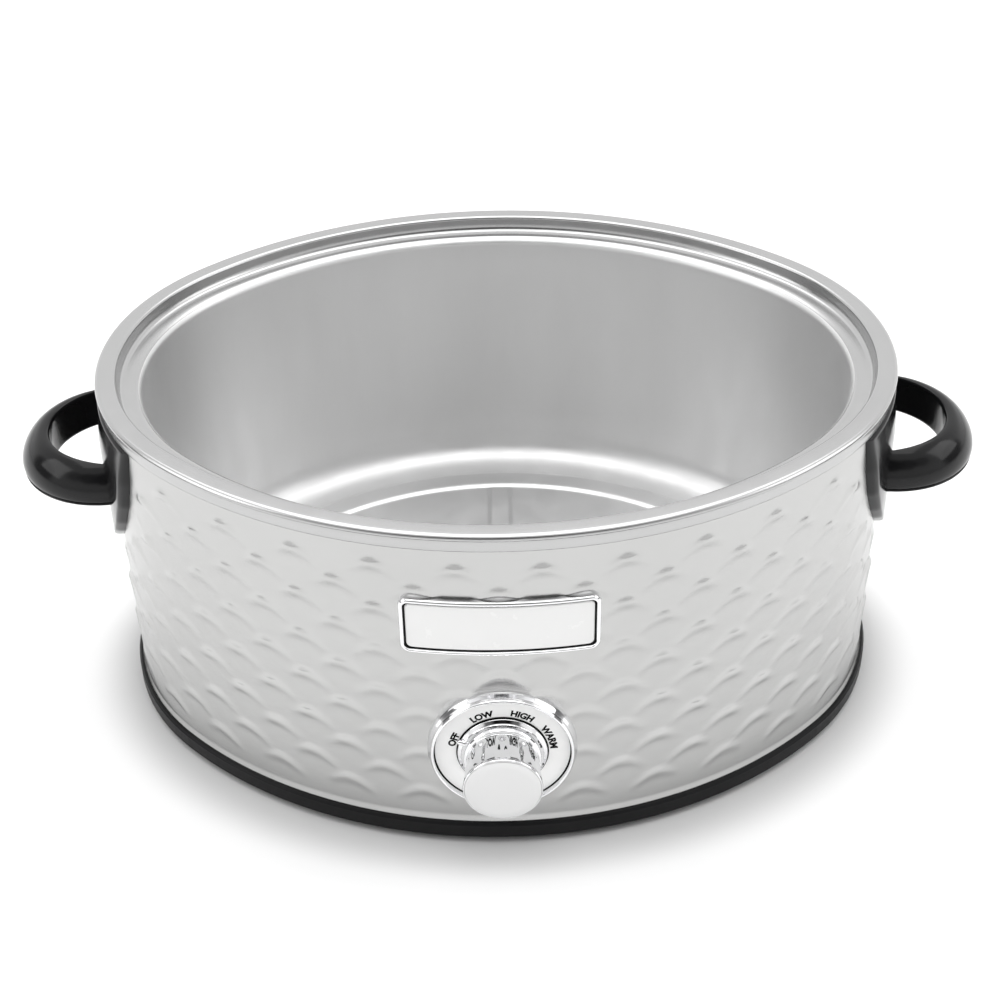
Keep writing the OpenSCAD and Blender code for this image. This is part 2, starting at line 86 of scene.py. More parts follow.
def arc(cx, cz, r, a0, a1, n):
    a = np.radians(np.linspace(a0, a1, n + 1))
    return [(cx + r * math.cos(t), cz + r * math.sin(t)) for t in a]


def smooth(e0, e1, x):
    t = np.clip((x - e0) / (e1 - e0), 0, 1)
    return t * t * (3 - 2 * t)


# the four-arc oval: phi is the direction of the outward normal, d the outward offset from the rim
def oval(phi, d):
    p = np.mod(np.degrees(phi), 360)
    end = ((p <= 45) | (p >= 315)), ((p >= 135) & (p <= 225))
    side = ((p > 45) & (p < 135)), ((p > 225) & (p < 315))
    cx = np.where(end[0], ARC_X, np.where(end[1], -ARC_X, 0.0))
    cy = np.where(side[0], -ARC_X, np.where(side[1], ARC_X, 0.0))
    r = np.where(end[0] | end[1], END_R, SIDE_R) + d
    return cx + r * np.cos(phi), cy + r * np.sin(phi)


def phi_of_s(s, d=-2.2):
    """Normal direction at arc length s, measured from the middle of the front towards +X, on the offset curve d."""
    q = math.pi / 4
    a, b = (SIDE_R + d) * q, (END_R + d) * q
    total = 4 * (a + b)
    s = np.mod(s, total)
    out = np.zeros_like(s)
    marks = [0, a, a + 2 * b, 3 * a + 2 * b, 3 * a + 4 * b, total]
    starts = [270, 315, 405, 495, 585]
    rads = [SIDE_R + d, END_R + d, SIDE_R + d, END_R + d, SIDE_R + d]
    for k in range(5):
        w = (s >= marks[k]) & (s <= marks[k + 1])
        out = np.where(w, np.radians(starts[k]) + (s - marks[k]) / rads[k], out)
    return out, total


# ------------------------------------------------------------------ materials
def material(name, colour, metallic=0.0, rough=0.5, rough_var=0.06, scale=350.0, bump=0.0, bump_scale=900.0,
             colour_var=0.04, coat=0.0, coat_rough=0.1, ior=1.5, stretch=(1, 1, 1), wear=0.0, spec=0.5):
    m = bpy.data.materials.new(name)
    m.use_nodes = True
    m.diffuse_color = (*colour, 1)
    nt = m.node_tree
    b = nt.nodes["Principled BSDF"]
    tc = nt.nodes.new("ShaderNodeTexCoord")
    mp = nt.nodes.new("ShaderNodeMapping")
    mp.inputs["Scale"].default_value = stretch
    nt.links.new(tc.outputs["Object"], mp.inputs["Vector"])
    n1 = nt.nodes.new("ShaderNodeTexNoise")
    n1.inputs["Scale"].default_value = scale
    n1.inputs["Detail"].default_value = 4.0
    nt.links.new(mp.outputs["Vector"], n1.inputs["Vector"])
    r = nt.nodes.new("ShaderNodeMapRange")
    r.inputs["From Min"].default_value = 0.3
    r.inputs["From Max"].default_value = 0.7
    r.inputs["To Min"].default_value = max(0.0, rough - rough_var)
    r.inputs["To Max"].default_value = min(1.0, rough + rough_var)
    nt.links.new(n1.outputs["Fac"], r.inputs["Value"])
    nt.links.new(r.outputs["Result"], b.inputs["Roughness"])
    n2 = nt.nodes.new("ShaderNodeTexNoise")
    n2.inputs["Scale"].default_value = scale * 0.12
    n2.inputs["Detail"].default_value = 3.0
    nt.links.new(mp.outputs["Vector"], n2.inputs["Vector"])
    ramp = nt.nodes.new("ShaderNodeValToRGB")
    c0 = tuple(max(0.0, c * (1 - colour_var)) for c in colour)
    c1 = tuple(min(1.0, c * (1 + colour_var)) for c in colour)
    ramp.color_ramp.elements[0].position = 0.35
    ramp.color_ramp.elements[0].color = (*c0, 1)
    ramp.color_ramp.elements[1].position = 0.65
    ramp.color_ramp.elements[1].color = (*c1, 1)
    nt.links.new(n2.outputs["Fac"], ramp.inputs["Fac"])
    nt.links.new(ramp.outputs["Color"], b.inputs["Base Color"])
    if bump:
        n3 = nt.nodes.new("ShaderNodeTexNoise")
        n3.inputs["Scale"].default_value = bump_scale
        n3.inputs["Detail"].default_value = 3.0
        nt.links.new(mp.outputs["Vector"], n3.inputs["Vector"])
        bp = nt.nodes.new("ShaderNodeBump")
        bp.inputs["Strength"].default_value = 1.0
        bp.inputs["Distance"].default_value = bump
        nt.links.new(n3.outputs["Fac"], bp.inputs["Height"])
        nt.links.new(bp.outputs["Normal"], b.inputs["Normal"])
    b.inputs["Metallic"].default_value = metallic
    b.inputs["IOR"].default_value = ior
    b.inputs["Coat Weight"].default_value = coat
    b.inputs["Coat Roughness"].default_value = coat_rough
    b.inputs["Specular IOR Level"].default_value = spec
    return m


M = {}
M["steel"] = material("embossed_steel", (0.495, 0.495, 0.49), 1.0, 0.24, 0.02, 120, 0.000003, 300, 0.012)
M["liner"] = material("liner_satin", (0.70, 0.70, 0.70), 1.0, 0.46, 0.05, 90, 0.00002, 500, 0.04, stretch=(1, 1, 0.25))
M["rim"] = material("rim_polish", (0.48, 0.48, 0.48), 1.0, 0.24, 0.02, 120, 0.000003, 300, 0.012)
M["tray"] = material("tray_black", (0.008, 0.008, 0.0085), 0.0, 0.4, 0.05, 600, 0.00001, 2600, 0.1, spec=0.15)
M["rubber"] = material("foot_rubber", (0.03, 0.03, 0.032), 0.0, 0.75, 0.08, 500, 0.00003, 1800, 0.12)
M["handle"] = material("handle_black", (0.008, 0.008, 0.0085), 0.0, 0.14, 0.03, 260, 0.000006, 420, 0.1, spec=0.25)
M["chrome"] = material("trim_chrome", (0.86, 0.86, 0.87), 1.0, 0.05, 0.015, 300, 0.0, 700, 0.01)
M["plate"] = material("plate_white", (0.84, 0.84, 0.835), 0.0, 0.25, 0.03, 200, 0.000003, 300, 0.006, spec=0.35)
M["dial"] = material("dial_white", (0.97, 0.97, 0.965), 0.0, 0.3, 0.02, 200, 0.000003, 300, 0.006, spec=0.3)
# black for the printed legends, also used as painted shade on the strips in the gaps round the nameplate and dial and
# on the ring round the knob
M["ink"] = material("dial_ink", (0.004, 0.004, 0.004), 0.0, 0.5, 0.05, 900, 0.0, 700, 0.15, spec=0.1)
M["cap"] = material("knob_satin", (0.65, 0.65, 0.65), 1.0, 0.3, 0.01, 500, 0.0, 1500, 0.004)
M["zinc"] = material("zinc_steel", (0.62, 0.63, 0.62), 1.0, 0.34, 0.08, 260, 0.00002, 900, 0.06)
M["heat"] = material("shield_steel", (0.55, 0.55, 0.54), 1.0, 0.42, 0.08, 160, 0.00003, 500, 0.08)
M["phenolic"] = material("switch_phenolic", (0.035, 0.028, 0.024), 0.0, 0.45, 0.08, 700, 0.00002, 1600, 0.2)
M["board"] = material("cover_board", (0.42, 0.33, 0.2), 0.0, 0.6, 0.08, 500, 0.00002, 1500, 0.12)
M["brass"] = material("contact_brass", (0.72, 0.52, 0.24), 1.0, 0.3, 0.07, 400, 0.00001, 1200, 0.08)
M["fibre"] = material("band_fibre", (0.66, 0.62, 0.54), 0.0, 0.85, 0.08, 900, 0.00015, 1400, 0.15)
M["ceramic"] = material("block_ceramic", (0.78, 0.75, 0.68), 0.0, 0.5, 0.1, 450, 0.00004, 900, 0.06)
M["hub"] = material("hub_plastic", (0.45, 0.36, 0.24), 0.0, 0.5, 0.07, 500, 0.00001, 1500, 0.08)
M["gland"] = material("gland_black", (0.02, 0.02, 0.021), 0.0, 0.42, 0.07, 700, 0.00001, 2400, 0.15)
M["w_brown"] = material("wire_brown", (0.14, 0.06, 0.025), 0.0, 0.4, 0.06, 900, 0.00001, 2400, 0.15)
M["w_blue"] = material("wire_blue", (0.02, 0.06, 0.3), 0.0, 0.4, 0.06, 900, 0.00001, 2400, 0.15)
M["w_grey"] = material("wire_grey", (0.35, 0.34, 0.32), 0.0, 0.7, 0.08, 1200, 0.00006, 2000, 0.15)
M["w_green"] = material("wire_green", (0.16, 0.38, 0.05), 0.0, 0.4, 0.06, 900, 0.00001, 2400, 0.15)
M["floor"] = material("floor_paper", (0.93, 0.93, 0.93), 0.0, 0.8, 0.05, 6, 0.0, 700, 0.004, spec=0.2)

NODE_MATERIAL = {
    "base_tray": "tray", "rubber_feet": "rubber", "handle_screws": "zinc", "handle_washers": "zinc", "nameplate_nuts": "zinc",
    "switch_bush": "brass", "switch_nut": "zinc", "switch_housing": "phenolic", "switch_cover": "board", "switch_contacts": "brass",
    "switch_rivets": "brass", "heater_band": "fibre", "band_lugs": "zinc", "band_springs": "zinc", "heat_shield": "heat",
    "thermal_fuse": "ceramic", "fuse_clip": "zinc", "clamp_bracket": "zinc", "centre_spacer": "zinc", "centre_bolt": "zinc",
    "centre_washer": "zinc", "centre_nut": "zinc", "terminal_block": "ceramic", "terminal_screws": "brass", "earth_stud": "brass",
    "earth_nut": "brass", "wire_live": "w_brown", "wire_neutral": "w_blue", "wire_heater": "w_grey", "wire_earth": "w_green",
    "cord_gland": "gland", "gland_nut": "gland", "knob_insert": "hub", "switch_shaft": "zinc", "switch_cam": "hub",
    "outer_shell": "steel", "liner": "liner", "handle_left": "handle", "handle_right": "handle", "handle_plate_left": "handle",
    "handle_plate_right": "handle", "nameplate_frame": "chrome", "nameplate_plate": "plate", "dial_bezel": "chrome",
    "dial_plate": "dial", "knob_body": "chrome", "knob_cap": "cap",
}
for name, ob in frame["nodes"].items():
    mm = M[NODE_MATERIAL[name]]
    if len(ob.material_slots) == 0:
        ob.data.materials.append(mm)
    for s in ob.material_slots:
        s.material = mm

# ------------------------------------------------------------------ embossed outer shell
COLS = 58
PITCH_Z = 21.4
CREST = 133.1


def emboss(s, z, total):
    """Height of the pressed pattern: rows of arched ridges on a flat wall, every other column half a row lower."""
    pitch = total / COLS
    c = s / pitch
    h = np.zeros_like(s)
    base = np.floor(c)
    for dk in (-1, 0, 1, 2):
        k = base + dk
        # azimuth of the column from the front: towards the sides a ridge leans, short on its outer side and long on its inner side
        side = np.sin(2 * math.pi * k / COLS)
        lean = smooth(0.2, 0.55, np.abs(side))
        e = (s - k * pitch) * np.where(side >= 0, 1.0, -1.0)
        wide = np.where(e > 0, 11.8 - 4.2 * lean, 11.8 + 2.2 * lean)
        u = e / wide
        live = np.abs(u) < 1
        odd = np.mod(k, 2) == 1
        z0 = CREST + np.where(odd, 10.9, 0.0)
        j = np.round((z0 - 2.5 - z) / PITCH_Z)
        for dj in (-1, 0, 1):
            jj = j + dj
            crest = z0 - PITCH_Z * jj
            ok = live & (crest < 147) & (crest > 26)
            uu = np.clip(u, -1, 1)
            sag = np.where(e > 0, 7.2 - 3.4 * lean, 7.2 + 1.0 * lean)
            v = z - crest + sag * (1 - np.cos(uu * math.pi / 2))
            w = np.clip(1 - uu ** 2, 0, 1) ** 0.9
            spot = np.maximum(smooth(85, 128, crest), 0.9 * lean * smooth(20, 60, crest))
            size = 0.56 + 0.44 * spot * np.exp(-(e / 3.8) ** 2)
            up = np.cos(np.clip((v + 0.8) / 2.4, 0, 1) * math.pi / 2) ** 2
            down = np.cos(np.clip(-(v + 0.8) / (3.0 + 2.6 * w), 0, 1) * math.pi / 2) ** 2
            f = np.where(v > -0.8, up, down) * w * size
            h = np.maximum(h, np.where(ok, f, 0))
    return h


def plate_half(z):
    """Half width of the handle back plate at height z."""
    return np.interp(z, [74, 76, 79, 85, 94, 104, 118, 133, 151.7], [0, 12, 22, 31, 41, 49, 57, 62, 65.5])


def shell():
    n, m = COLS * 13, 118
    _, total = phi_of_s(np.zeros(1))
    s = np.arange(n) * total / n
    z = 3.7 + np.linspace(0, 1, m) * (157 - 3.7)
    S, Z = np.meshgrid(s, z, indexing="ij")
    phi, _ = phi_of_s(S)
    x0, y0 = oval(phi, np.full_like(S, -2.2))
    # the pressing stops short of the two handle plates
    clear = np.where((Z > 73) & (np.abs(x0) > 90), smooth(2.0, 9.0, np.abs(y0) - plate_half(Z + 2)), 1.0)
    H = emboss(S, Z, total) * smooth(150, 144, Z) * smooth(12, 22, Z) * clear
    d = -2.2 + 1.3 * H + 0.75 * smooth(10.5, 8.6, Z)
    x, y = oval(phi, d)
    outer = np.stack([x, y, Z], -1).reshape(-1, 3)
    zi = np.array([3.7, 157.0])
    S2, Z2 = np.meshgrid(s, zi, indexing="ij")
    phi2, _ = phi_of_s(S2)
    x2, y2 = oval(phi2, np.full_like(S2, -3.2))
    inner = np.stack([x2, y2, Z2], -1).reshape(-1, 3)
    f = [grid(n, m, wrap_n=True), grid(n, 2, wrap_n=True, off=n * m, flip=True)]
    i = np.arange(n)
    i2 = (i + 1) % n
    f.append(np.stack([i * m, n * m + i * 2, n * m + i2 * 2, i2 * m], 1))
    f.append(np.stack([i * m + m - 1, i2 * m + m - 1, n * m + i2 * 2 + 1, n * m + i * 2 + 1], 1))
    obj_from("shell_embossed", np.concatenate([outer, inner]), np.concatenate(f), "base", M["steel"],
             ["outer_shell"], sharp=None)


shell()


# ------------------------------------------------------------------ pressed liner with its rolled rim
def liner():
    n = 720
    phi = np.radians(270 + np.arange(n) * 360 / n)
    top = [(-53.6, 25.0), (-53.0, 25.1), (-52.4, 25.5), (-51.8, 25.95), (-51.0, 26.15), (-50.0, 26.2), (-46.0, 26.2), (-42.3, 26.2), (-41.4, 26.15),
           (-40.7, 25.9), (-40.1, 25.4), (-39.5, 25.1), (-38.8, 25.0), (-36.0, 25.0)]
    top += arc(-33.5, 39, 14, -90, 0, 14)
    top += [(-19.5, z) for z in (45, 55, 70, 85, 100, 115, 130, 142)]
    top += arc(-15.5, 148.9, 4, 180, 90, 9)
    top += [(-13.5, 152.9), (-11.9, 152.9), (-11.2, 153.0), (-10.6, 153.35), (-10.0, 154.0), (-9.6, 155.0), (-9.3, 156.4)]
    top += arc(-7.7, 158.5, 1.5, 180, 90, 6)
    top += [(-6.2, 160.0), (-4.2, 160.0)]
    top += arc(-2.2, 157.8, 2.2, 90, 12, 9)
    top += [(-0.18, 157.9), (-0.5, 157.55), (-0.85, 157.3), (-1.0, 156.9), (-1.0, 154.5), (-1.0, 152.6), (-1.15, 152.2), (-1.5, 152.1)]
    under = [(-2.0, 152.1), (-2.0, 158.2), (-2.6, 159.0), (-7.4, 159.0), (-8.4, 158.0), (-9.5, 152.8), (-11.8, 151.9)]
    under += arc(-15.5, 148.9, 3, 90, 180, 5)
    under += arc(-33.5, 39, 15, 0, -90, 6)
    under += [(-39.5, 24.0), (-53.6, 24.0)]
    prof = top + under
    rings = []
    for d, z in prof:
        x, y = oval(phi, d)
        rings.append(np.stack([x, y, np.full(n, z)], -1))
    x0, y0 = oval(phi, -53.6)

    def scaled(t, zb, rib):
        x, y = x0 * t, y0 * t
        z = np.full(n, zb)
        if rib:
            z = z + 1.2 * smooth(6.2, 4.6, np.abs(x)) * smooth(1.0, 0.985, t * np.ones(n))
        return np.stack([x, y, z], -1)

    ts = [0.03, 0.06, 0.1, 0.15, 0.2, 0.26, 0.32, 0.38, 0.45, 0.52, 0.6, 0.68, 0.76, 0.84, 0.9, 0.95, 0.985]
    inner = [scaled(t, 25.0, True) for t in ts]
    back = [scaled(t, 24.0, False) for t in ts[::-4]]
    # the floor with its rib: shrunken copies of the wall's foot outline, joined to the wall rings in one grid
    all_rings = inner + rings + back
    m = len(all_rings)
    verts = np.stack(all_rings, 1).reshape(-1, 3)
    f = [grid(n, m, wrap_n=True, flip=True)]
    faces = [tuple(r) for r in np.concatenate(f)]
    c0, c1 = len(verts), len(verts) + 1
    verts = np.concatenate([verts, [[0, 0, 26.2], [0, 0, 24.0]]])
    for i in range(n):
        i2 = (i + 1) % n
        faces.append((c0, i * m, i2 * m))
        faces.append((c1, i2 * m + m - 1, i * m + m - 1))
    # faces above the shoulder are polished, the well is satin
    zz = verts[:, 2]
    fm = [1 if min(zz[v] for v in f) > 151.5 else 0 for f in faces]
    obj_from("liner_pressed", verts, faces, "base", [M["liner"], M["rim"]], ["liner"], sharp=None, face_mats=fm)


liner()


# ------------------------------------------------------------------ carrying handles
def grip(sx):
    low, wide, top = 106.5, 111.5, 125.0

    def crown(q):
        """Height of the outer face at q millimetres in from its widest line."""
        t = min(max(1 - q / 10.5, 0.0), 1.0)
        return wide + (top - wide) * (1 - t ** 1.6) ** (1 / 1.6)

    rings = []
    T = np.linspace(-1, 1, 105)
    for t in T:
        ai, ao = math.radians(95.5 * t), math.radians(102 * t)
        pi = np.array([171.8 + 31 * math.cos(ai), 31 * math.sin(ai)])
        po = np.array([176.5 + 40 * math.cos(ao), 40 * math.sin(ao)])
        w = np.linalg.norm(po - pi)
        u = (po - pi) / w
        edge = crown(w - 1.3)
        sec = [(1.4, low), (0.5, low + 0.3), (0.1, low + 0.9), (0.0, low + 1.8), (0.0, 113.0), (0.0, 118.0), (0.0, edge - 2.4), (0.06, edge - 1.5),
               (0.25, edge - 0.8), (0.55, edge - 0.35), (0.95, edge - 0.08)]
        for k in range(16):
            # evenly spread along the curve, denser towards the widest line
            q = (w - 1.3) * (1 - k / 15) ** 1.35
            sec.append((w - q, crown(q)))
        sec += [(w - 0.03, wide - 1.2), (w - 0.15, wide - 2.3), (w - 0.4, low + 1.9), (w - 0.75, low + 1.5), (w - 0.95, low + 1.3), (w - 0.5, low + 1.12),
                (w - 0.32, low + 0.85), (w - 0.4, low + 0.4), (w - 0.9, low + 0.08), (w - 1.8, low), (w * 0.5, low)]
        rings.append([(sx * (pi + u * q)[0], (pi + u * q)[1], z) for q, z in sec])
    k = len(rings[0])
    verts = np.array(rings).reshape(-1, 3)
    f = grid(len(T), k, wrap_m=True, flip=(sx > 0))
    faces = [tuple(r) for r in f]
    e0 = tuple(range(k))
    e1 = tuple((len(T) - 1) * k + j for j in range(k))
    faces.append(e0 if sx < 0 else e0[::-1])
    faces.append(e1[::-1] if sx < 0 else e1)
    side = "right" if sx > 0 else "left"
    obj_from(f"grip_{side}", verts, faces, "base", M["handle"], [f"handle_{side}"], sharp=50)


def shield(sx):
    ys = [12, 22, 31, 41, 49, 57, 62, 65.5]
    zs = [76, 79, 85, 94, 104, 118, 133, 151.7]
    vz = np.concatenate([np.linspace(76, 80, 12), np.linspace(81, 149, 40), np.linspace(149.6, 151.7, 8)])
    nu = 81
    u = np.sin(np.linspace(-1, 1, nu) * math.pi / 2)
    u = 0.55 * np.linspace(-1, 1, nu) + 0.45 * u
    U, V = np.meshgrid(u, vz, indexing="ij")
    W = np.interp(V, zs, ys)
    e = np.minimum(np.minimum((1 - np.abs(U)) * W, (151.7 - V) * 1.0), (V - 76) * 1.3)
    r = 1.7
    t = np.clip(e / r, 0, 1)
    d = 1.8 - r + r * np.sqrt(np.clip(1 - (1 - t) ** 2, 0, 1)) - 1.8 * smooth(130, 152, V)
    yy = U * W
    rr = END_R + d
    # half width is measured along Y, so the point sits on the offset arc at that height
    x = ARC_X + np.sqrt(np.clip(rr * rr - yy * yy, 0, None))
    front = np.stack([x, yy, V], -1).reshape(-1, 3)
    rb = END_R - 2.1
    xb = ARC_X + np.sqrt(rb * rb - yy * yy)
    back = np.stack([xb, yy, V], -1).reshape(-1, 3)
    m = len(vz)
    verts = np.concatenate([front, back])
    N = nu * m
    f = [grid(nu, m), grid(nu, m, off=N, flip=True)]
    i = np.arange(nu - 1)
    f.append(np.stack([i * m, N + i * m, N + (i + 1) * m, (i + 1) * m], 1))
    f.append(np.stack([i * m + m - 1, (i + 1) * m + m - 1, N + (i + 1) * m + m - 1, N + i * m + m - 1], 1))
    j = np.arange(m - 1)
    f.append(np.stack([j, j + 1, N + j + 1, N + j], 1))
    o = (nu - 1) * m
    f.append(np.stack([o + j, N + o + j, N + o + j + 1, o + j + 1], 1))
    f = np.concatenate(f)
    if sx < 0:
        verts = verts * np.array([-1, 1, 1])
        f = f[:, ::-1]
    side = "right" if sx > 0 else "left"
    obj_from(f"handle_shield_{side}", verts, f, "base", M["handle"], [f"handle_plate_{side}"], sharp=55)


for sx in (-1, 1):
    grip(sx)
    shield(sx)


# ------------------------------------------------------------------ nameplate: chrome surround and blank plate
def rounded_rect(w, h, r, n):
    pts = []
    for cx, cz, a0 in ((w / 2 - r, h / 2 - r, 0), (-w / 2 + r, h / 2 - r, 90), (-w / 2 + r, -h / 2 + r, 180), (w / 2 - r, -h / 2 + r, 270)):
        for a in np.radians(np.linspace(a0, a0 + 90, n)):
            pts.append((cx + r * math.cos(a), cz + r * math.sin(a)))
    # fill the straight runs so that the plate can bend round the shell
    out = []
    for (x0, z0), (x1, z1) in zip(pts, pts[1:] + pts[:1]):
        k = max(1, int(math.hypot(x1 - x0, z1 - z0) / 2.5))
        for t in range(k):
            out.append((x0 + (x1 - x0) * t / k, z0 + (z1 - z0) * t / k))
    return out


def bent(x, z, d, zc):
    rr = SIDE_R + d
    return (x, ARC_X - math.sqrt(rr * rr - x * x), z + zc)


def nameplate():
    zc = 115.0
    # ring section from the outer foot, over the rounded crown, to the inner wall: (inset from the outline, d)
    sec = [(0.0, -2.1), (0.0, -0.9), (0.08, -0.35), (0.35, 0.15), (0.8, 0.5), (1.25, 0.6), (1.6, 0.45), (1.85, 0.1), (1.95, -0.4), (1.95, -1.5), (0.4, -2.1)]
    base = rounded_rect(80, 27, 4.2, 9)
    nrm = []
    P = np.array(base)
    T = np.roll(P, -1, 0) - np.roll(P, 1, 0)
    T /= np.linalg.norm(T, axis=1)[:, None]
    NI = np.stack([-T[:, 1], T[:, 0]], 1)  # inward for a counter-clockwise outline
    n, m = len(P), len(sec)
    verts = [bent(*(P[i] + NI[i] * ins), d, zc) for i in range(n) for ins, d in sec]
    f = grid(n, m, wrap_n=True, wrap_m=True, flip=False)
    obj_from("nameplate_surround", verts, f, "base", M["chrome"], ["nameplate_frame"], sharp=70)
    # blank plate with a fine bevel: a regular grid, so that the bright face shades evenly
    w, h, r = 74.6, 21.6, 2.2
    ins = [0.0, 0.12, 0.3, 0.55, 0.9, 1.5, 2.4]
    half = [w / 2 - q for q in ins]
    xs = np.array([-q for q in half] + list(np.linspace(-half[-1], half[-1], 62))[1:-1] + half[::-1])

    def edge(x):
        q = np.abs(x) - (w / 2 - r)
        return h / 2 - r + np.sqrt(np.maximum(r * r - np.maximum(q, 0) ** 2, 0)) if q > 0 else h / 2
    rows = []
    for x in xs:
        e = edge(x)
        t = [-(e - q) for q in ins] + list(np.linspace(-(e - ins[-1]), e - ins[-1], 12))[1:-1] + [e - q for q in ins[::-1]]
        rows.append([(x, z) for z in t])
    rows = np.array(rows)
    X, Z = rows[..., 0], rows[..., 1]
    qx, qz = np.abs(X) - (w / 2 - r), np.abs(Z) - (h / 2 - r)
    sd = np.hypot(np.maximum(qx, 0), np.maximum(qz, 0)) + np.minimum(np.maximum(qx, qz), 0) - r
    k = np.clip(-sd / 0.55, 0, 1)
    D = -0.75 + 0.42 * np.sqrt(1 - (1 - k) ** 2)
    n, m = X.shape
    verts = [bent(X[i, j], Z[i, j], D[i, j], zc) for i in range(n) for j in range(m)]
    verts += [bent(X[i, j], Z[i, j], -1.3, zc) for i in range(n) for j in range(m)]
    faces = [tuple(f) for f in grid(n, m)] + [tuple(f) for f in grid(n, m, off=n * m, flip=True)]
    loop = [i * m for i in range(n)] + [(n - 1) * m + j for j in range(1, m)] + [i * m + m - 1 for i in range(n - 2, -1, -1)] + [j for j in range(m - 2, 0, -1)]
    for a, b in zip(loop, loop[1:] + loop[:1]):
        faces.append((a, a + n * m, b + n * m, b))
    obj_from("nameplate_blank", verts, faces, "base", M["plate"], ["nameplate_plate"], sharp=60)
    # black strip in the gap between plate and surround: painted shade standing in for the dark depth of the gap
    gap_shade_rows = []
    for q, d in ((1.5, -1.0), (1.9, -0.62), (2.3, -0.62), (2.8, -0.75), (3.2, -1.2)):
        gap_shade_rows.append([bent(P[i][0] + NI[i][0] * q, P[i][1] + NI[i][1] * q, d, zc) for i in range(len(P))])
    V = np.array(gap_shade_rows).transpose(1, 0, 2).reshape(-1, 3)
    obj_from("nameplate_gap_shade", V, grid(len(P), len(gap_shade_rows), wrap_n=True, wrap_m=True), "base", M["ink"], (), sharp=60)


nameplate()

# ------------------------------------------------------------------ dial: bezel, plate, legends
DIAL_Z = 50.0
DP = -139.861
KB = -140.361
FACE_Y = -162.661
FRONT_Y = -137.961


def revolve(name, prof, body, mat, nodes=(), n=192, sharp=45, shape=None, cap_start=False, cap_end=False, closed=False, z0=DIAL_Z):
    """prof: (radius, y) along a half section; the axis is Y through (0, z0)."""
    a = np.linspace(0, 2 * math.pi, n, endpoint=False)
    m = len(prof)
    V = np.zeros((n, m, 3))
    for j, (r, y) in enumerate(prof):
        rr = np.full(n, float(r))
        if shape is not None:
            rr = shape(a, rr, y)
        V[:, j, 0] = rr * np.cos(a)
        V[:, j, 1] = y
        V[:, j, 2] = z0 + rr * np.sin(a)
    faces = [tuple(r) for r in grid(n, m, wrap_n=True, wrap_m=closed)]
    if cap_start:
        faces.append(tuple(i * m for i in range(n)))
    if cap_end:
        faces.append(tuple(i * m + m - 1 for i in range(n))[::-1])
    return obj_from(name, V.reshape(-1, 3), faces, body, mat, nodes, sharp=sharp)


def bezel():
    prof = [(28.4, DP + 1.3), (28.4, DP - 1.2)]
    prof += [(28.42, DP - 1.7), (28.5, DP - 2.15), (28.7, DP - 2.45), (28.95, DP - 2.6), (29.25, DP - 2.5), (29.55, DP - 2.2), (29.78, DP - 1.7), (29.9, DP - 1.1)]
    prof += [(30.1, DP - 0.5), (30.7, DP + 0.7), (31.0, FRONT_Y - 0.4), (31.15, FRONT_Y + 0.6), (31.15, FRONT_Y + 4.6), (27.0, FRONT_Y + 4.6), (27.0, DP + 1.3)]
    revolve("dial_bezel_ring", prof[::-1], "base", M["chrome"], ["dial_bezel"], n=224, closed=True, sharp=60)


def dial_face():
    prof = [(5.2, DP + 1.3), (5.2, DP + 0.2), (5.4, DP), (20.0, DP), (27.6, DP), (27.95, DP + 0.12), (28.05, DP + 0.4), (28.05, DP + 1.3)]
    revolve("dial_face", prof, "base", M["dial"], ["dial_plate"], n=160, closed=True, sharp=50)
    # painted shade: a black ring at the bottom of the gap between the dial plate's edge and the bezel, standing in for
    # the dark depth of that gap
    revolve("dial_gap_shade", [(27.4, DP + 0.45), (27.4, DP + 0.25), (27.8, DP + 0.14), (28.3, DP + 0.1), (28.6, DP + 0.25), (28.6, DP + 0.45)], "base", M["ink"], (), n=160, closed=True, sharp=50)


def legend(text, angle, radius, cap):
    cu = bpy.data.curves.new("t_" + text, "FONT")
    cu.body = text
    cu.size = 1.0
    cu.align_x = "CENTER"
    cu.offset = 0.045
    cu.extrude = 0.02
    cu.resolution_u = 6
    ob = bpy.data.objects.new("t_" + text, cu)
    bpy.context.scene.collection.objects.link(ob)
    bpy.context.view_layer.update()
    dg = bpy.context.evaluated_depsgraph_get()
    me = bpy.data.meshes.new_from_object(ob.evaluated_get(dg))
    co = np.array([v.co for v in me.vertices], float)
    fc = [tuple(p.vertices) for p in me.polygons]
    bpy.data.objects.remove(ob)
    bpy.data.meshes.remove(me)
    bpy.data.curves.remove(cu)
    k = cap / (co[:, 1].max() - co[:, 1].min())
    x = (co[:, 0] - (co[:, 0].max() + co[:, 0].min()) / 2) * k * 1.0
    y = (co[:, 1] - (co[:, 1].max() + co[:, 1].min()) / 2) * k
    th = math.radians(angle) - x / radius
    r = radius + y
    d = np.where(co[:, 2] > 0, 0.07, -0.05)
    V = np.stack([r * np.cos(th), DP - d, DIAL_Z + r * np.sin(th)], 1)
    return V, fc


def legends():
    vs, fs, off = [], [], 0
    for text, angle in (("OFF", 160.5), ("LOW", 112.8), ("HIGH", 66.8), ("WARM", 21.2)):
        V, fc = legend(text, angle, 21.3, 3.25)
        vs.append(V)
        fs += [tuple(i + off for i in f) for f in fc]
        off += len(V)
    # painted shade: a black ring on the dial, showing as a thin arc just outside the knob's flange, standing in for the
    # shadow gap and dark reflection round the knob's base
    revolve("knob_shadow_ring", [(10.0, DP - 0.05), (18.9, DP - 0.05), (19.15, DP - 0.2), (19.0, DP - 0.42), (10.0, DP - 0.42)], "base", M["ink"], (), n=120, closed=True, sharp=50)
    obj_from("dial_legends", np.concatenate(vs), fs, "base", M["ink"], (), sharp=30)


bezel()
dial_face()
legends()


# ------------------------------------------------------------------ knob
FLUTES = 10


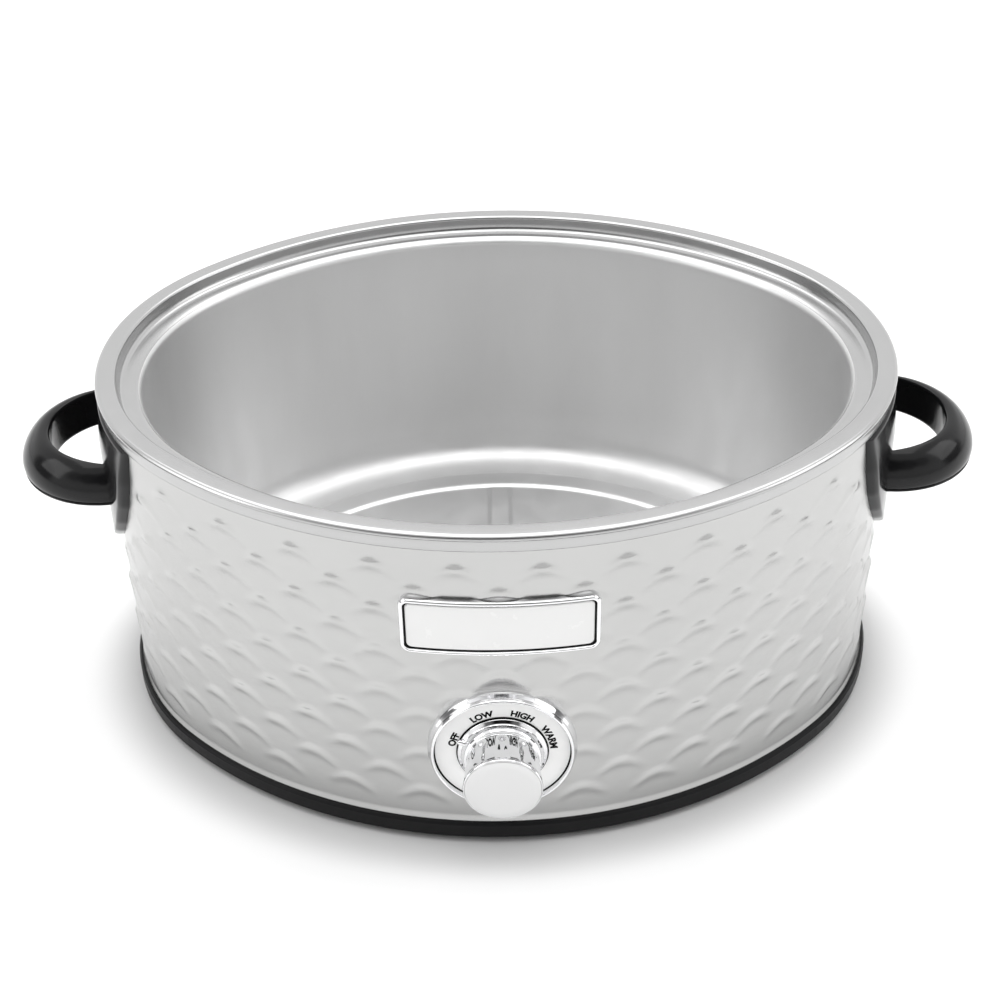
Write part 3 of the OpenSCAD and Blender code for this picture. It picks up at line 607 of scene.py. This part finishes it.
def knob():
    y_step = KB - 4.7

    def fluted(a, r, y):
        g = float(smooth(y_step - 1.2, y_step - 4.4, np.array(y))) * float(smooth(FACE_Y + 1.0, FACE_Y + 2.6, np.array(y)))
        step = 2 * math.pi / FLUTES
        dlt = np.abs(np.mod(a - math.pi / 2 + step / 2, step) - step / 2)
        w = 0.62 * step / 2
        f = np.cos(np.clip(dlt / w, 0, 1) * math.pi / 2) ** 1.5
        return r - 0.95 * g * f

    prof = [(7.0, KB - 3.2), (9.0, KB - 3.2), (9.0, KB), (18.0, KB), (18.4, KB - 0.08), (18.6, KB - 0.3), (18.58, KB - 0.5),
            (18.3, KB - 0.72), (17.3, KB - 1.42), (17.0, KB - 1.7), (16.85, KB - 2.05), (16.6, KB - 2.8), (16.2, KB - 4.0), (15.9, KB - 4.6), (15.7, KB - 4.8),
            (15.3, y_step - 0.2), (15.0, y_step - 0.4), (14.9, y_step - 0.65), (14.85, y_step - 1.0)]
    ys = np.linspace(y_step - 1.4, FACE_Y + 1.5, 26)
    for y in ys:
        t = (y_step - 1.0 - y) / (y_step - 1.0 - FACE_Y - 1.5)
        prof.append((14.85 + 1.45 * t ** 1.2, float(y)))
    prof += [(16.3, FACE_Y + 1.1), (16.25, FACE_Y + 0.75), (16.05, FACE_Y + 0.4), (15.9, FACE_Y + 0.3), (15.8, FACE_Y + 0.36), (15.75, FACE_Y + 0.5), (15.75, FACE_Y + 1.7), (0.02, FACE_Y + 1.7)]
    revolve("knob_barrel", prof, "knob", M["chrome"], ["knob_body"], n=240, sharp=65, shape=fluted)
    cap = [(0.02, FACE_Y + 1.65), (15.7, FACE_Y + 1.65), (15.7, FACE_Y + 0.45), (15.6, FACE_Y + 0.15), (15.3, FACE_Y), (12.0, FACE_Y - 0.02), (6.0, FACE_Y - 0.05), (0.02, FACE_Y - 0.06)]
    revolve("knob_face", cap, "knob", M["cap"], ["knob_cap"], n=160, sharp=50)
    # pointer: a small rounded nib on the skirt, towards the legend
    ang = math.radians(157.5)
    c, s = math.cos(ang), math.sin(ang)
    rows = []
    for r, w, h0 in ((16.6, 1.25, 0.0), (18.9, 1.2, 0.05), (19.5, 1.0, 0.2), (19.9, 0.6, 0.5), (20.05, 0.2, 0.8)):
        ring = []
        for a in np.radians(np.linspace(0, 360, 14, endpoint=False)):
            tt = w * math.cos(a)
            yy = KB - 1.3 + (1.15 - h0 * 0.6) * math.sin(a)
            ring.append((r * c - tt * s, yy, DIAL_Z + r * s + tt * c))
        rows.append(ring)
    V = np.array(rows).reshape(-1, 3)
    k = 14
    faces = [tuple(r) for r in grid(len(rows), k, wrap_m=True)]
    faces.append(tuple(range(k))[::-1])
    faces.append(tuple((len(rows) - 1) * k + j for j in range(k)))
    obj_from("knob_pointer", V, faces, "knob", M["chrome"], (), sharp=50)


knob()


# ------------------------------------------------------------------ floor, camera and light
def floor():
    me = bpy.data.meshes.new("floor")
    s = 6.0
    me.from_pydata([(-s, -s, 0), (s, -s, 0), (s, s, 0), (-s, s, 0)], [], [(0, 1, 2, 3)])
    me.materials.append(M["floor"])
    ob = bpy.data.objects.new("floor", me)
    bpy.context.scene.collection.objects.link(ob)


# Painted contact shadow: the floor's colour is scaled down to 0.72 under the tray and rises smoothly to full white a
# little way past its outline, standing in for the shade under the tray.
def paint_floor_contact_shadow():
    mt = M["floor"]
    nt = mt.node_tree
    bsdf = next(n for n in nt.nodes if n.type == "BSDF_PRINCIPLED")
    tc = nt.nodes.new("ShaderNodeTexCoord")
    sc = nt.nodes.new("ShaderNodeVectorMath")
    sc.operation = "MULTIPLY"
    sc.inputs[1].default_value = (1 / 0.178, 1 / 0.141, 0)
    nt.links.new(tc.outputs["Object"], sc.inputs[0])
    ln = nt.nodes.new("ShaderNodeVectorMath")
    ln.operation = "LENGTH"
    nt.links.new(sc.outputs["Vector"], ln.inputs[0])
    mr = nt.nodes.new("ShaderNodeMapRange")
    mr.interpolation_type = "SMOOTHSTEP"
    mr.inputs["From Min"].default_value, mr.inputs["From Max"].default_value = 0.98, 1.13
    mr.inputs["To Min"].default_value, mr.inputs["To Max"].default_value = 0.72, 1.0
    nt.links.new(ln.outputs["Value"], mr.inputs["Value"])
    mul = nt.nodes.new("ShaderNodeVectorMath")
    mul.operation = "SCALE"
    base = bsdf.inputs["Base Color"]
    if base.is_linked:
        nt.links.new(base.links[0].from_socket, mul.inputs[0])
    else:
        mul.inputs[0].default_value = tuple(base.default_value)[:3]
    nt.links.new(mr.outputs["Result"], mul.inputs["Scale"])
    nt.links.new(mul.outputs["Vector"], base)


floor()
paint_floor_contact_shadow()


def camera():
    px, py, f, dist = 12.1, -7.32, 1763.9, 0.82417
    th, yaw, roll = math.radians(35.01), math.radians(0.23), math.radians(0.86)
    target = Vector((0.00608, 0.0, 0.08232))
    fwd = Vector((0, math.cos(th), -math.sin(th)))
    up0 = Vector((0, math.sin(th), math.cos(th)))
    right0 = Vector((1, 0, 0))
    right = right0 * math.cos(roll) - up0 * math.sin(roll)
    up = right0 * math.sin(roll) + up0 * math.cos(roll)
    pos = target - fwd * dist
    R = Matrix.Rotation(-yaw, 3, "Z")
    pos, right, up, fwd = R @ pos, R @ right, R @ up, R @ fwd
    pos = pos + Vector((0, 0.0064, 0.003))
    cam = bpy.data.cameras.new("camera")
    cam.sensor_width = 36.0
    cam.lens = f / 1000 * 36.0
    cam.shift_x = -px / 1000
    cam.shift_y = py / 1000
    cam.clip_start, cam.clip_end = 0.05, 50
    ob = bpy.data.objects.new("camera", cam)
    bpy.context.scene.collection.objects.link(ob)
    m = Matrix((right, up, -fwd)).transposed().to_4x4()
    m.translation = pos
    ob.matrix_world = m
    bpy.context.scene.camera = ob


camera()


def area(name, loc, target, size, power, size_y=None, spread=180):
    la = bpy.data.lights.new(name, "AREA")
    la.shape = "RECTANGLE"
    la.size, la.size_y = size, size_y or size
    la.energy = power
    la.spread = math.radians(spread)
    ob = bpy.data.objects.new(name, la)
    bpy.context.scene.collection.objects.link(ob)
    ob.location = loc
    ob.rotation_euler = (Vector(target) - Vector(loc)).to_track_quat("-Z", "Y").to_euler()
    return ob


def world():
    w = bpy.data.worlds.new("studio")
    bpy.context.scene.world = w
    w.use_nodes = True
    nt = w.node_tree
    bg = nt.nodes["Background"]
    tc = nt.nodes.new("ShaderNodeTexCoord")
    sep = nt.nodes.new("ShaderNodeSeparateXYZ")
    nt.links.new(tc.outputs["Generated"], sep.inputs[0])
    ramp = nt.nodes.new("ShaderNodeValToRGB")
    cr = ramp.color_ramp
    cr.interpolation = "EASE"
    stops = [(0.0, 1.0), (0.16, 1.15), (0.42, 0.98), (1.0, 1.05)]
    cr.elements[0].position, cr.elements[0].color = stops[0][0], (stops[0][1],) * 3 + (1,)
    cr.elements[1].position, cr.elements[1].color = stops[-1][0], (stops[-1][1],) * 3 + (1,)
    for p, v in stops[1:-1]:
        e = cr.elements.new(p)
        e.color = (v, v, v, 1)
    nt.links.new(sep.outputs["Z"], ramp.inputs["Fac"])
    # unlit gaps of the studio, which polished edges pick up as thin dark marks: behind the viewer and low at both sides
    col = ramp.outputs["Color"]
    sky = nt.nodes.new("ShaderNodeMapRange")
    sky.inputs["From Min"].default_value, sky.inputs["From Max"].default_value = -0.9, 0.6
    sky.inputs["To Min"].default_value, sky.inputs["To Max"].default_value = 0.86, 1.1
    nt.links.new(sep.outputs["Y"], sky.inputs["Value"])
    tilt = nt.nodes.new("ShaderNodeVectorMath")
    tilt.operation = "SCALE"
    nt.links.new(col, tilt.inputs[0])
    nt.links.new(sky.outputs["Result"], tilt.inputs["Scale"])
    col = tilt.outputs["Vector"]
    for az, el, r0, r1, low in ((0, 33, 10, 20, 0.02), (-23, 32, 8, 16, 0.15), (23, 32, 8, 16, 0.15), (-44, 31, 6, 13, 0.4), (44, 31, 6, 13, 0.4),
                                 (-90, 11, 12, 23, 0.15), (90, 11, 12, 23, 0.15)):
        a, e = math.radians(az), math.radians(el)
        dot = nt.nodes.new("ShaderNodeVectorMath")
        dot.operation = "DOT_PRODUCT"
        dot.inputs[1].default_value = (math.sin(a) * math.cos(e), -math.cos(a) * math.cos(e), math.sin(e))
        nt.links.new(tc.outputs["Generated"], dot.inputs[0])
        mr = nt.nodes.new("ShaderNodeMapRange")
        mr.interpolation_type = "SMOOTHSTEP"
        mr.inputs["From Min"].default_value = math.cos(math.radians(r1))
        mr.inputs["From Max"].default_value = math.cos(math.radians(r0))
        mr.inputs["To Min"].default_value = 1.0
        mr.inputs["To Max"].default_value = low
        nt.links.new(dot.outputs["Value"], mr.inputs["Value"])
        mix = nt.nodes.new("ShaderNodeVectorMath")
        mix.operation = "SCALE"
        nt.links.new(col, mix.inputs[0])
        nt.links.new(mr.outputs["Result"], mix.inputs["Scale"])
        col = mix.outputs["Vector"]
    nt.links.new(col, bg.inputs["Color"])
    bg.inputs["Strength"].default_value = 1.0


world()
area("top_softbox", (0.0, 0.25, 1.7), (0, 0, 0), 2.0, 21)
area("left_softbox", (-1.5, -0.3, 0.9), (0, 0, 0.1), 0.9, 5)
area("right_softbox", (1.5, -0.1, 0.9), (0, 0, 0.1), 0.9, 5)
bpy.context.scene.view_settings.view_transform = "Standard"
bpy.context.scene.view_settings.look = "None"
